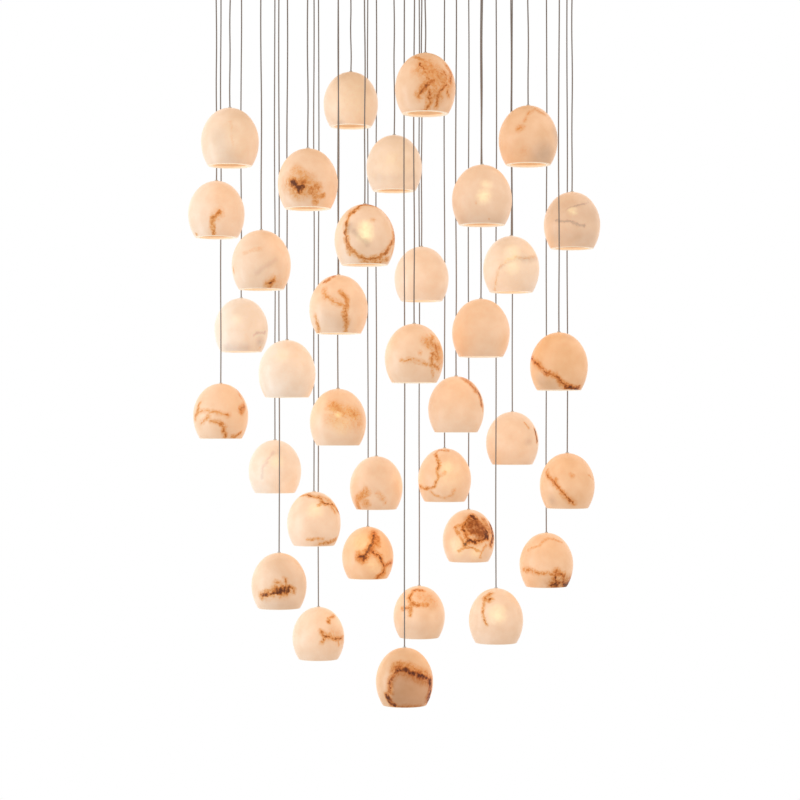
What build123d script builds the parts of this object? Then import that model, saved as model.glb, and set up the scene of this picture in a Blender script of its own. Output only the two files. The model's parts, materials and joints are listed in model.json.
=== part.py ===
"""Cluster pendant light: 36 open alabaster globes on taut cords under one round ceiling canopy.

Millimetres. The origin is the centre of the ceiling plate's top face, which lies on the ceiling,
with +Z up, +X to the viewer's right and +Y away from the viewer.
"""

import math
import os

from build123d import *

# Outlets: one at the centre and three rings, counted counter-clockwise from the same line
inner_ring_radius = 146
middle_ring_radius = 275
outer_ring_radius = 416
first_outlet_angle = 207.4

# Drop from the canopy's underside to the crown of each shade
centre_drops = [440]
inner_ring_drops = [1035, 1625, 1005, 690, 275]
middle_ring_drops = [925, 785, 895, 835, 680, 1510, 1175, 1195, 1280, 1420]
outer_ring_drops = [
    405, 690, 520, 645, 320, 555, 415, 910, 580, 1185,
    1380, 1085, 1330, 1525, 1375, 1575, 1155, 810, 1020, 555,
]

# Shade: a crown arc and a side arc above the widest level and one arc below it, cut flat at the mouth
shade_diameter = 130
shade_upper_rise = 76
crown_radius = 58
shade_lower_depth = 55
mouth_diameter = 98
shade_wall = 9
mouth_edge_radius = 2

# Cord and the hardware in the crown of a shade
cord_diameter = 3
cord_clearance = 0.1
cap_diameter = 8
cap_height = 2.4
cap_edge = 0.6
cap_seat_margin = 0.6
crown_hole_clearance = 0.3
cushion_diameter = 24
cushion_thickness = 1.5
crown_seat_margin = 1
disc_diameter = 22
disc_thickness = 2
clamp_nut_width = 10
clamp_nut_height = 4
cord_socket_depth = 4

# Lampholder and lamp
holder_diameter = 18
holder_height = 20
holder_edge = 1.5
socket_diameter = 13
socket_depth = 8
lamp_clearance = 0.2
lamp_diameter = 16
lamp_length = 38

# Canopy pan, which reaches past the outer ring of outlets by a margin
canopy_margin = 44
canopy_height = 55
ceiling_gap = 2
pan_wall = 2
pan_corner_radius = 10

# Cord grip in each outlet, with its lock nut and the connector above it
grip_diameter = 14
grip_height = 9
grip_edge = 2
grip_thread_diameter = 10
grip_thread_length = 12
thread_clearance = 0.05
outlet_clearance = 0.2
flare_diameter = 7
flare_height = 3
pivot_gap = 0.3
grip_nut_width = 14
grip_nut_height = 3
connector_diameter = 16
connector_height = 10
connector_bore_depth = 6

# Distribution boards on the connectors
board_width = 18
board_thickness = 1.6
hub_diameter = 44
link_start_radius = 13

# Ceiling plate
plate_edge_margin = 25
plate_thickness = 4
anchor_circle_diameter = 490
anchor_count = 10
anchor_angle = 18
anchor_hole_diameter = 7

# Hanger studs with lock nuts and cap nuts
stud_circle_diameter = 420
stud_count = 5
stud_angle = 36
stud_diameter = 8
stud_projection = 7
stud_hole_clearance = 0.2
stud_nut_width = 13
stud_nut_height = 6.5
cap_nut_height = 13
cap_nut_skirt = 8
cap_nut_end_room = 0.3

# LED drivers under the plate, each beside an outlet of the inner ring
driver_slots = [0, 2, 3]
driver_pitch_radius = 210
driver_length = 120
driver_width = 42
driver_height = 24
driver_edge = 2
tab_length = 12
tab_thickness = 2
driver_screw_diameter = 4
driver_screw_clearance = 0.2
driver_screw_length = 5.5
driver_screw_head_diameter = 8
driver_screw_head_height = 2.5
output_pin_diameter = 3
output_pin_spacing = 8

# Mains terminal block, earth screw and supply grommet
terminal_slot = 1
terminal_length = 44
terminal_width = 22
terminal_height = 16
terminal_edge = 1.5
terminal_screw_spacing = 26
terminal_screw_diameter = 3
terminal_screw_depth = 3.5
terminal_screw_head_diameter = 6
terminal_screw_head_height = 2
earth_screw_radius = 120
earth_screw_angle = 108
earth_screw_diameter = 5
earth_screw_depth = 3.5
earth_screw_head_diameter = 10
earth_screw_head_height = 3
supply_radius = 75
supply_angle = 36
supply_hole_diameter = 26
grommet_flange_diameter = 32
grommet_flange_thickness = 2
supply_bore_diameter = 12


def polar_point(radius, angle):
    """A point at a radius and an angle in degrees from the first outlet's line."""
    turn = math.radians(first_outlet_angle + angle)
    return radius * math.cos(turn), radius * math.sin(turn)


def other_leg(hypotenuse, leg):
    """The other leg of a right triangle."""
    return math.sqrt(hypotenuse**2 - leg**2)


def write(shape, name):
    """Label a finished piece and write it to its own file."""
    shape.label = name
    export_step(shape, f"parts/{name}.step")


def write_group(shapes, name):
    """Write separate solids that share one node."""
    write(Compound(children=shapes), name)


def ring_plate(outer_diameter, inner_diameter, top, thickness):
    """A flat ring whose top face is at a level."""
    with BuildPart() as ring:
        with BuildSketch(Plane.XY.offset(top)):
            Circle(outer_diameter / 2)
            Circle(inner_diameter / 2, mode=Mode.SUBTRACT)
        extrude(amount=-thickness)
    return ring.part


def hexagon_nut(width, bore_diameter, top, height):
    """A plain hexagon nut, width across the flats, whose top face is at a level."""
    with BuildPart() as nut:
        with BuildSketch(Plane.XY.offset(top)):
            RegularPolygon(radius=width / 2, side_count=6, major_radius=False)
            Circle(bore_diameter / 2, mode=Mode.SUBTRACT)
        extrude(amount=-height)
    return nut.part


def screw_from_below(diameter, depth, head_diameter, head_height, seat):
    """A screw whose head lies under a seat level and whose shank rises above it."""
    with BuildPart() as screw:
        with BuildSketch(Plane.XY.offset(seat)):
            Circle(head_diameter / 2)
        extrude(amount=-head_height)
        with BuildSketch(Plane.XY.offset(seat)):
            Circle(diameter / 2)
        extrude(amount=depth)
    return screw.part


# Levels of the canopy, worked out from the driving dimensions
canopy_underside = -canopy_height
pan_floor = canopy_underside + pan_wall
pivot_level = canopy_underside - grip_height + flare_height
grip_top = canopy_underside + grip_thread_length
board_seat = grip_top + connector_height
link_seat = board_seat + board_thickness
link_top = link_seat + board_thickness
driver_bottom = -plate_thickness - driver_height

# Outlets as places on the canopy with the drop of their shade
rings = [
    (0, centre_drops),
    (inner_ring_radius, inner_ring_drops),
    (middle_ring_radius, middle_ring_drops),
    (outer_ring_radius, outer_ring_drops),
]
outlets = []
for ring_radius, ring_drops in rings:
    for place, drop in enumerate(ring_drops):
        x, y = polar_point(ring_radius, place * 360 / len(ring_drops))
        outlets.append((x, y, drop))
outlet_points = [(x, y, canopy_underside) for x, y, drop in outlets]

os.makedirs("parts", exist_ok=True)

# Shade, with its crown seat at level 0
crown_hole_radius = cord_diameter / 2 + crown_hole_clearance
shade_radius = shade_diameter / 2
mouth_inset = shade_radius - mouth_diameter / 2
crown_rise = shade_upper_rise - crown_radius
side_radius = (shade_radius**2 + crown_rise**2 - crown_radius**2) / (2 * (shade_radius - crown_radius))
lower_radius = (mouth_inset**2 + shade_lower_depth**2) / (2 * mouth_inset)
join_angle = math.degrees(math.atan2(crown_rise, side_radius - shade_radius))
cap_seat_radius = cap_diameter / 2 + cap_seat_margin
crown_seat_radius = cushion_diameter / 2 + crown_seat_margin
crown_centre = -other_leg(crown_radius, cap_seat_radius)
crown_seat = crown_centre + other_leg(crown_radius - shade_wall, crown_seat_radius)
widest_level = crown_centre - crown_rise
mouth_level = widest_level - shade_lower_depth


def mouth_radius(inset):
    """Radius of the mouth of the shade's outer face, or of a face set in from it."""
    return shade_radius - lower_radius + other_leg(lower_radius - inset, shade_lower_depth)


def draw_shade_side(inset, seat_radius):
    """Draw the shade's outer face, or one set in from it, from a crown seat down to the mouth."""
    seat_angle = math.degrees(math.acos(seat_radius / (crown_radius - inset)))
    mouth_angle = math.degrees(math.asin(shade_lower_depth / (lower_radius - inset)))
    CenterArc((0, crown_centre), crown_radius - inset, join_angle, seat_angle - join_angle)
    CenterArc((shade_radius - side_radius, widest_level), side_radius - inset, 0, join_angle)
    CenterArc((shade_radius - lower_radius, widest_level), lower_radius - inset, 0, -mouth_angle)


with BuildPart() as shade:
    with BuildSketch(Plane.XZ):
        with BuildLine():
            Polyline((crown_seat_radius, crown_seat), (crown_hole_radius, crown_seat),
                     (crown_hole_radius, 0), (cap_seat_radius, 0))
            draw_shade_side(0, cap_seat_radius)
            draw_shade_side(shade_wall, crown_seat_radius)
            Line((mouth_radius(0), mouth_level), (mouth_radius(shade_wall), mouth_level))
        make_face()
    revolve(axis=Axis.Z)
    mouth_edges = shade.edges().filter_by(GeomType.CIRCLE).group_by(Axis.Z)[0]
    fillet(mouth_edges, radius=mouth_edge_radius)

# Hardware in the crown, from the cap down to the lamp
cushion_top = crown_seat
disc_top = cushion_top - cushion_thickness
clamp_nut_top = disc_top - disc_thickness
holder_top = clamp_nut_top - clamp_nut_height
cord_end = holder_top - cord_socket_depth
holder_bottom = holder_top - holder_height
cord_bore_radius = cord_diameter / 2 + cord_clearance

with BuildPart() as ferrule:
    with BuildSketch():
        Circle(cap_diameter / 2)
    extrude(amount=cap_height)
    chamfer(ferrule.edges().group_by(Axis.Z)[-1], length=cap_edge)
    Hole(cord_bore_radius)

cushion = ring_plate(cushion_diameter, 2 * crown_hole_radius, cushion_top, cushion_thickness)
disc = ring_plate(disc_diameter, 2 * crown_hole_radius, disc_top, disc_thickness)
clamp_nut = hexagon_nut(clamp_nut_width, 2 * cord_bore_radius, clamp_nut_top, clamp_nut_height)

with BuildPart() as lampholder:
    with BuildSketch(Plane.XY.offset(holder_top)):
        Circle(holder_diameter / 2)
    extrude(amount=-holder_height)
    chamfer(lampholder.edges().group_by(Axis.Z)[-1], length=holder_edge)
    with BuildSketch(Plane.XY.offset(holder_top)):
        Circle(cord_bore_radius)
    extrude(amount=-cord_socket_depth, mode=Mode.SUBTRACT)
    with BuildSketch(Plane.XY.offset(holder_bottom)):
        Circle(socket_diameter / 2)
    extrude(amount=socket_depth, mode=Mode.SUBTRACT)

with BuildPart() as lamp:
    with BuildSketch(Plane.XY.offset(holder_bottom)):
        Circle(socket_diameter / 2 - lamp_clearance)
    extrude(amount=socket_depth)
    with BuildSketch(Plane.XY.offset(holder_bottom)):
        Circle(lamp_diameter / 2)
    extrude(amount=-(lamp_length - lamp_diameter / 2))
    with Locations((0, 0, holder_bottom - lamp_length + lamp_diameter / 2)):
        Sphere(lamp_diameter / 2)


def cord_below_pivot(drop):
    """The free cord of one pendant, its round top centred on the pivot, in the shade's frame."""
    cord_top = drop + pivot_level - canopy_underside
    with BuildPart() as cord:
        with BuildSketch(Plane.XY.offset(cord_end)):
            Circle(cord_diameter / 2)
        extrude(amount=cord_top - cord_end)
        with Locations((0, 0, cord_top)):
            Sphere(cord_diameter / 2)
    return cord.part


# Pendants, each with its own cord
shade_pieces = [shade.part, ferrule.part, cushion, disc, clamp_nut, lampholder.part, lamp.part]
for number, (x, y, drop) in enumerate(outlets, start=1):
    crown = Location((x, y, canopy_underside - drop))
    pendant_pieces = shade_pieces + [cord_below_pivot(drop)]
    write_group([piece.moved(crown) for piece in pendant_pieces], f"pendant_{number:02d}")

# Canopy pan: a floor with a turned-up rim, an outlet for each cord and a hole for each stud
pan_radius = outer_ring_radius + canopy_margin
outlet_radius = grip_thread_diameter / 2 + outlet_clearance
stud_hole_radius = stud_diameter / 2 + stud_hole_clearance
stud_step = 360 / stud_count
stud_points = [
    polar_point(stud_circle_diameter / 2, stud_angle + place * stud_step)
    for place in range(stud_count)
]

with BuildPart() as canopy_pan:
    with BuildSketch(Plane.XZ):
        with BuildLine():
            Polyline((0, canopy_underside), (pan_radius, canopy_underside), (pan_radius, -ceiling_gap),
                     (pan_radius - pan_wall, -ceiling_gap), (pan_radius - pan_wall, pan_floor),
                     (0, pan_floor), close=True)
        make_face()
    revolve(axis=Axis.Z)
    rim_circles = canopy_pan.edges().filter_by(GeomType.CIRCLE)
    fillet(rim_circles.group_by(Axis.Z)[0], radius=pan_corner_radius)
    inner_corner = canopy_pan.edges().filter_by(GeomType.CIRCLE).filter_by_position(
        Axis.Z, pan_floor, pan_floor)
    fillet(inner_corner, radius=pan_corner_radius - pan_wall)
    with Locations(*outlet_points):
        Hole(outlet_radius)
    with Locations(*[(x, y, canopy_underside) for x, y in stud_points]):
        Hole(stud_hole_radius)
write(canopy_pan.part, "canopy_pan")

# Cord grips: a head under the pan with a flared mouth, and a thread through the outlet
with BuildPart() as cord_grip:
    with BuildSketch(Plane.XY.offset(canopy_underside)):
        Circle(grip_diameter / 2)
    extrude(amount=-grip_height)
    fillet(cord_grip.edges().group_by(Axis.Z)[0], radius=grip_edge)
    with BuildSketch(Plane.XY.offset(canopy_underside)):
        Circle(grip_thread_diameter / 2)
    extrude(amount=grip_thread_length)
    with Locations((0, 0, canopy_underside)):
        Hole(cord_bore_radius)
    with BuildSketch(Plane.XZ):
        with BuildLine():
            Polyline((0, pivot_level), (cord_bore_radius, pivot_level),
                     (flare_diameter / 2, canopy_underside - grip_height),
                     (0, canopy_underside - grip_height), close=True)
        make_face()
    revolve(axis=Axis.Z, mode=Mode.SUBTRACT)

grip_nut_bore = grip_thread_diameter + 2 * thread_clearance
grip_nut = hexagon_nut(grip_nut_width, grip_nut_bore, pan_floor + grip_nut_height, grip_nut_height)

with BuildPart() as connector:
    with BuildSketch(Plane.XY.offset(grip_top)):
        Circle(connector_diameter / 2)
    extrude(amount=connector_height)
    with BuildSketch(Plane.XY.offset(grip_top)):
        Circle(cord_bore_radius)
    extrude(amount=connector_bore_depth, mode=Mode.SUBTRACT)

tail_bottom = pivot_level + cord_diameter / 2 + pivot_gap
with BuildPart() as cord_tail:
    with BuildSketch(Plane.XY.offset(tail_bottom)):
        Circle(cord_diameter / 2)
    extrude(amount=grip_top + connector_bore_depth - tail_bottom)

outlet_spots = [Location((x, y, 0)) for x, y, drop in outlets]
write_group([cord_grip.part.moved(spot) for spot in outlet_spots], "cord_grips")
write_group([grip_nut.moved(spot) for spot in outlet_spots], "grip_lock_nuts")
write_group([connector.part.moved(spot) for spot in outlet_spots], "cord_connectors")
write_group([cord_tail.part.moved(spot) for spot in outlet_spots], "cord_tails")

# Distribution boards: a hub and three rings on the connectors, and a radial link under each driver
with BuildPart() as bus_hub:
    with BuildSketch(Plane.XY.offset(board_seat)):
        Circle(hub_diameter / 2)
    extrude(amount=board_thickness)
write(bus_hub.part, "bus_hub")

board_rings = [
    ("inner", inner_ring_radius),
    ("middle", middle_ring_radius),
    ("outer", outer_ring_radius),
]
for ring_name, ring_radius in board_rings:
    outside = 2 * ring_radius + board_width
    inside = 2 * ring_radius - board_width
    board = ring_plate(outside, inside, link_seat, board_thickness)
    write(board, f"bus_ring_{ring_name}")

link_length = outer_ring_radius + board_width / 2 - link_start_radius
slot_turn = 360 / len(inner_ring_drops)
with BuildPart() as bus_link:
    with BuildSketch(Plane.XY.offset(link_seat)):
        with Locations((link_start_radius, 0)):
            Rectangle(link_length, board_width, align=(Align.MIN, Align.CENTER))
    extrude(amount=board_thickness)

with BuildPart() as driver:
    with BuildSketch(Plane.XY.offset(driver_bottom)):
        with Locations((driver_pitch_radius, 0)):
            Rectangle(driver_width, driver_length)
    extrude(amount=driver_height)
    fillet(driver.edges().filter_by(Axis.Z), radius=driver_edge)
    with BuildSketch(Plane.XY.offset(-plate_thickness)):
        with Locations((driver_pitch_radius, 0)):
            Rectangle(driver_width, driver_length + 2 * tab_length)
    extrude(amount=-tab_thickness)
    tab_middle = (driver_length + tab_length) / 2
    with Locations((driver_pitch_radius, tab_middle, -plate_thickness),
                   (driver_pitch_radius, -tab_middle, -plate_thickness)):
        Hole(driver_screw_diameter / 2 + driver_screw_clearance)

driver_screw = screw_from_below(
    driver_screw_diameter, driver_screw_length, driver_screw_head_diameter, driver_screw_head_height,
    -plate_thickness - tab_thickness)
driver_screw_points = [(driver_pitch_radius, tab_middle, 0), (driver_pitch_radius, -tab_middle, 0)]

with BuildPart() as output_pin:
    with BuildSketch(Plane.XY.offset(link_top)):
        Circle(output_pin_diameter / 2)
    extrude(amount=driver_bottom - link_top)
output_pin_points = [
    (driver_pitch_radius, output_pin_spacing / 2, 0),
    (driver_pitch_radius, -output_pin_spacing / 2, 0),
]

slot_spots = [
    Location((0, 0, 0), (0, 0, first_outlet_angle + slot * slot_turn)) for slot in driver_slots
]
write_group([bus_link.part.moved(spot) for spot in slot_spots], "bus_links")
for number, spot in enumerate(slot_spots, start=1):
    write(driver.part.moved(spot), f"led_driver_{number}")
write_group(
    [driver_screw.moved(spot * Location(point)) for spot in slot_spots for point in driver_screw_points],
    "driver_screws")
write_group(
    [output_pin.part.moved(spot * Location(point)) for spot in slot_spots for point in output_pin_points],
    "driver_output_pins")

# Mains terminal block with its two screws, between two studs
terminal_spot = Location((0, 0, 0), (0, 0, first_outlet_angle + terminal_slot * slot_turn))
terminal_bottom = -plate_thickness - terminal_height
terminal_screw_points = [
    (driver_pitch_radius, terminal_screw_spacing / 2, 0),
    (driver_pitch_radius, -terminal_screw_spacing / 2, 0),
]
with BuildPart() as terminal:
    with BuildSketch(Plane.XY.offset(terminal_bottom)):
        with Locations((driver_pitch_radius, 0)):
            Rectangle(terminal_width, terminal_length)
    extrude(amount=terminal_height)
    fillet(terminal.edges().filter_by(Axis.Z), radius=terminal_edge)
    with Locations(*[(x, y, terminal_bottom) for x, y, z in terminal_screw_points]):
        Hole(terminal_screw_diameter / 2 + driver_screw_clearance)
write(terminal.part.moved(terminal_spot), "mains_terminal")

terminal_screw = screw_from_below(
    terminal_screw_diameter, terminal_height + terminal_screw_depth, terminal_screw_head_diameter,
    terminal_screw_head_height, terminal_bottom)
write_group(
    [terminal_screw.moved(terminal_spot * Location(point)) for point in terminal_screw_points],
    "terminal_screws")

# Ceiling plate with its anchor holes, threaded holes for the screws and the supply hole
earth_point = polar_point(earth_screw_radius, earth_screw_angle)
supply_point = polar_point(supply_radius, supply_angle)
driver_hole_points = [
    (spot * Location(point)).position for spot in slot_spots for point in driver_screw_points
]
terminal_hole_points = [(terminal_spot * Location(point)).position for point in terminal_screw_points]

with BuildPart() as ceiling_plate:
    with BuildSketch():
        Circle(anchor_circle_diameter / 2 + plate_edge_margin)
        with PolarLocations(anchor_circle_diameter / 2, anchor_count, first_outlet_angle + anchor_angle):
            Circle(anchor_hole_diameter / 2, mode=Mode.SUBTRACT)
        with Locations(*[(point.X, point.Y) for point in driver_hole_points]):
            Circle(driver_screw_diameter / 2 + thread_clearance, mode=Mode.SUBTRACT)
        with Locations(*[(point.X, point.Y) for point in terminal_hole_points]):
            Circle(terminal_screw_diameter / 2 + thread_clearance, mode=Mode.SUBTRACT)
        with Locations(earth_point):
            Circle(earth_screw_diameter / 2 + thread_clearance, mode=Mode.SUBTRACT)
        with Locations(supply_point):
            Circle(supply_hole_diameter / 2, mode=Mode.SUBTRACT)
    extrude(amount=-plate_thickness)
write(ceiling_plate.part, "ceiling_plate")

earth_screw = screw_from_below(
    earth_screw_diameter, earth_screw_depth, earth_screw_head_diameter, earth_screw_head_height,
    -plate_thickness)
write(earth_screw.moved(Location((*earth_point, 0))), "earth_screw")

with BuildPart() as supply_grommet:
    with BuildSketch():
        Circle(supply_hole_diameter / 2)
    extrude(amount=-plate_thickness)
    with BuildSketch(Plane.XY.offset(-plate_thickness)):
        Circle(grommet_flange_diameter / 2)
    extrude(amount=-grommet_flange_thickness)
    Hole(supply_bore_diameter / 2)
write(supply_grommet.part.moved(Location((*supply_point, 0))), "supply_grommet")

# Hanger studs welded under the plate, with lock nuts on the pan's floor and cap nuts under it
with BuildPart() as stud:
    with BuildSketch(Plane.XY.offset(-plate_thickness)):
        Circle(stud_diameter / 2)
    extrude(amount=canopy_underside - stud_projection + plate_thickness)

stud_bore_diameter = stud_diameter + 2 * thread_clearance
stud_nut = hexagon_nut(stud_nut_width, stud_bore_diameter, pan_floor + stud_nut_height, stud_nut_height)

with BuildPart() as cap_nut:
    with BuildSketch(Plane.XY.offset(canopy_underside)):
        RegularPolygon(radius=stud_nut_width / 2, side_count=6, major_radius=False)
    extrude(amount=-cap_nut_skirt)
    with BuildSketch(Plane.XY.offset(canopy_underside - cap_nut_skirt)):
        Circle(stud_nut_width / 2)
    extrude(amount=cap_nut_skirt - cap_nut_height)
    fillet(cap_nut.edges().group_by(Axis.Z)[0], radius=cap_nut_height - cap_nut_skirt - cap_nut_end_room)
    with BuildSketch(Plane.XY.offset(canopy_underside)):
        Circle(stud_bore_diameter / 2)
    extrude(amount=-(stud_projection + cap_nut_end_room), mode=Mode.SUBTRACT)

stud_spots = [Location((x, y, 0)) for x, y in stud_points]
write_group([stud.part.moved(spot) for spot in stud_spots], "hanger_studs")
write_group([stud_nut.moved(spot) for spot in stud_spots], "stud_lock_nuts")
write_group([cap_nut.part.moved(spot) for spot in stud_spots], "cap_nuts")
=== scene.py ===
"""Looks of the cluster pendant light: 36 lit alabaster globes on woven cords under a bronze canopy.

Metres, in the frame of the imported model. Each pendant's place is read from its node and its joint.
"""

import json
import math

import bpy
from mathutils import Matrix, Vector


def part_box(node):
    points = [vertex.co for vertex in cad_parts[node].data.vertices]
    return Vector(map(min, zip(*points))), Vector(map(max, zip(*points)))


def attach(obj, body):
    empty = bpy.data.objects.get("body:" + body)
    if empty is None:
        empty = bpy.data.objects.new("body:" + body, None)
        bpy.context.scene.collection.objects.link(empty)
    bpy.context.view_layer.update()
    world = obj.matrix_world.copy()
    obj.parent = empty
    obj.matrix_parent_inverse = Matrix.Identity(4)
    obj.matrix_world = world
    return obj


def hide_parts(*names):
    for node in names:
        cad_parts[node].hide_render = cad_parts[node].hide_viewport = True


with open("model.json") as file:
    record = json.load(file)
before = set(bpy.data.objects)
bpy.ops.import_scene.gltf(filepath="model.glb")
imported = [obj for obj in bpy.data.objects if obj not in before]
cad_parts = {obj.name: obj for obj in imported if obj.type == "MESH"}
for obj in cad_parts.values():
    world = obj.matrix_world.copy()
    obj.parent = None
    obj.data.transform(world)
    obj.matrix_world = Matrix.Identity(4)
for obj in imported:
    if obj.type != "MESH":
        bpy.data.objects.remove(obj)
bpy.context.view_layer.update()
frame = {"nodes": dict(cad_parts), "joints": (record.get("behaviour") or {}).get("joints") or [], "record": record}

# Shade, as in the model: a crown arc and a side arc above the widest level and one arc below it
shade_radius = 0.065
shade_upper_rise = 0.076
crown_radius = 0.058
shade_lower_depth = 0.055
mouth_radius = 0.049
shade_wall = 0.009
outer_edge_trim = 0.0011
inner_edge_trim = 0.0036

# Hardware in the crown of a shade, from the collar down to the lamp
cord_radius = 0.0015
cord_bore_radius = 0.0016
collar_radius = 0.004
collar_height = 0.0024
collar_edge = 0.0006
collar_seat_radius = 0.0046
crown_hole_radius = 0.0018
crown_seat_radius = 0.013
cushion_radius = 0.012
cushion_thickness = 0.0015
disc_radius = 0.011
disc_thickness = 0.002
nut_width = 0.010
nut_height = 0.004
nut_edge = 0.0004
cord_socket_depth = 0.004
holder_radius = 0.009
holder_height = 0.020
holder_edge = 0.0015
holder_lower_edge = 0.0006
socket_radius = 0.0065
socket_depth = 0.008
lamp_radius = 0.008
lamp_length = 0.038
lamp_shoulder = 0.0012
lamp_clearance = 0.0002

# Levels of a pendant, down from its crown
side_lean = shade_upper_rise - crown_radius
mouth_inset = shade_radius - mouth_radius
side_radius = (shade_radius**2 + side_lean**2 - crown_radius**2) / (2 * (shade_radius - crown_radius))
lower_radius = (mouth_inset**2 + shade_lower_depth**2) / (2 * mouth_inset)
join_angle = math.atan2(side_lean, side_radius - shade_radius)
crown_centre = -math.sqrt(crown_radius**2 - collar_seat_radius**2)
crown_seat = crown_centre + math.sqrt((crown_radius - shade_wall) ** 2 - crown_seat_radius**2)
widest_level = crown_centre - side_lean
mouth_level = widest_level - shade_lower_depth
join_level = crown_centre + crown_radius * math.sin(join_angle)
disc_top = crown_seat - cushion_thickness
nut_top = disc_top - disc_thickness
holder_top = nut_top - nut_height
cord_end = holder_top - cord_socket_depth
holder_bottom = holder_top - holder_height
lamp_middle = holder_bottom - lamp_length / 2

# The photograph's camera, level and looking along +Y, in a square picture
camera_place = Vector((0.0136, -5.02, -1.185))
camera_lens = 96.48
camera_sensor = 36.0
camera_shift = 0.0375

# Points that a woven cord wanders through on its way down, as the photograph shows: a share of its length
# and how far it strays to the side and back, in millimetres. The cords take these lines in turn.
cord_lines = [
    [(0.14, 0.9, -0.5), (0.31, -1.1, 0.4), (0.52, 1.4, 0.6), (0.71, -0.7, -0.9), (0.88, 0.6, 0.3)],
    [(0.17, -1.2, 0.6), (0.40, 0.8, -0.7), (0.58, -0.9, -0.4), (0.79, 1.3, 0.5)],
    [(0.12, 0.7, 0.8), (0.29, 1.5, -0.3), (0.49, -0.8, -0.9), (0.66, 0.5, 0.7), (0.85, -1.0, 0.2)],
    [(0.20, -0.8, -0.6), (0.37, -1.5, 0.5), (0.61, 1.0, 0.8), (0.82, -0.5, -0.7)],
    [(0.16, 1.2, 0.3), (0.34, -0.4, -1.0), (0.55, -1.3, 0.5), (0.76, 0.9, -0.4), (0.90, -0.4, 0.3)],
]
cord_straight = 0.018

# The layers that each kind of mark in the stone is painted in. A mark counts 1 on its line, 0 at its reach
# and less past that. A layer has the counts where it starts and is full, and its share of the strength.
mark_layers = {
    "vein": {"thread": (-0.3, 1.2, 1.0), "rust": (-3.4, 1.0, 0.85)},
    "ring": {"thread": (-0.3, 1.2, 1.0), "rust": (-1.8, 1.0, 0.85)},
    "blot": {"blot": (-0.5, 0.9, 1.0), "rust": (-1.4, 0.8, 0.9)},
    "rust": {"rust": (-0.7, 1.0, 1.0)},
    "haze_and_shade": {"haze_and_shade": (-0.7, 1.0, 1.0)},
    "stain": {"stain": (-0.06, 0.22, 1.0)},
    "glow": {"glow": (-0.7, 1.0, 1.0)},
}
wobbling_layers = ("thread", "blot")

# How the lines of the marks stray: a noise's size, detail and roughness, and how far it moves them
line_strays = [(22.0, 2.0, 0.5, 14.0), (6.0, 4.0, 0.65, 9.0)]

# Marks with a Y in front of the front level are drawn straight on. Behind it they are folded over along a
# line that wavers, and slanted one way or the other. Each stone's noise is taken well apart from the next
# one's. Millimetres, but for the slants.
front_level = -20.0
fold_waver = 9.0
fold_slants = (-0.8, 0.9)
stone_shift = Vector((173.0, 91.0, 57.0))

# What rust and threads do to the stone's colour, by how dense they are, and what its clouds and grey hazes do. The
# grey hazes are partly painted shade.
no_tint = (1.0, 1.0, 1.0)
rust_density = 0.5
thread_density = 0.75
rust_tints = [
    (0.0, no_tint), (0.25, (0.85, 0.60, 0.33)), (0.5, (0.66, 0.31, 0.09)), (1.0, (0.14, 0.05, 0.015))]
cloud_and_shade_tints = {"haze_and_shade": (0.54, 0.56, 0.60), "stain": (0.74, 0.66, 0.62)}
crack_width = 0.035
crack_share = 0.5

# The stone's colours and its lamplight, for a pale and for a deep stone
pale_colours = ((0.82, 0.74, 0.68), (0.77, 0.57, 0.43))
warm_colours = ((0.82, 0.69, 0.58), (0.75, 0.49, 0.32))
lamplight = ((0.44, 0.285, 0.17), (0.45, 0.20, 0.055))
grain_colour = (0.80, 0.58, 0.44)
spot_light = (0.34, 0.33, 0.16)


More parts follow.
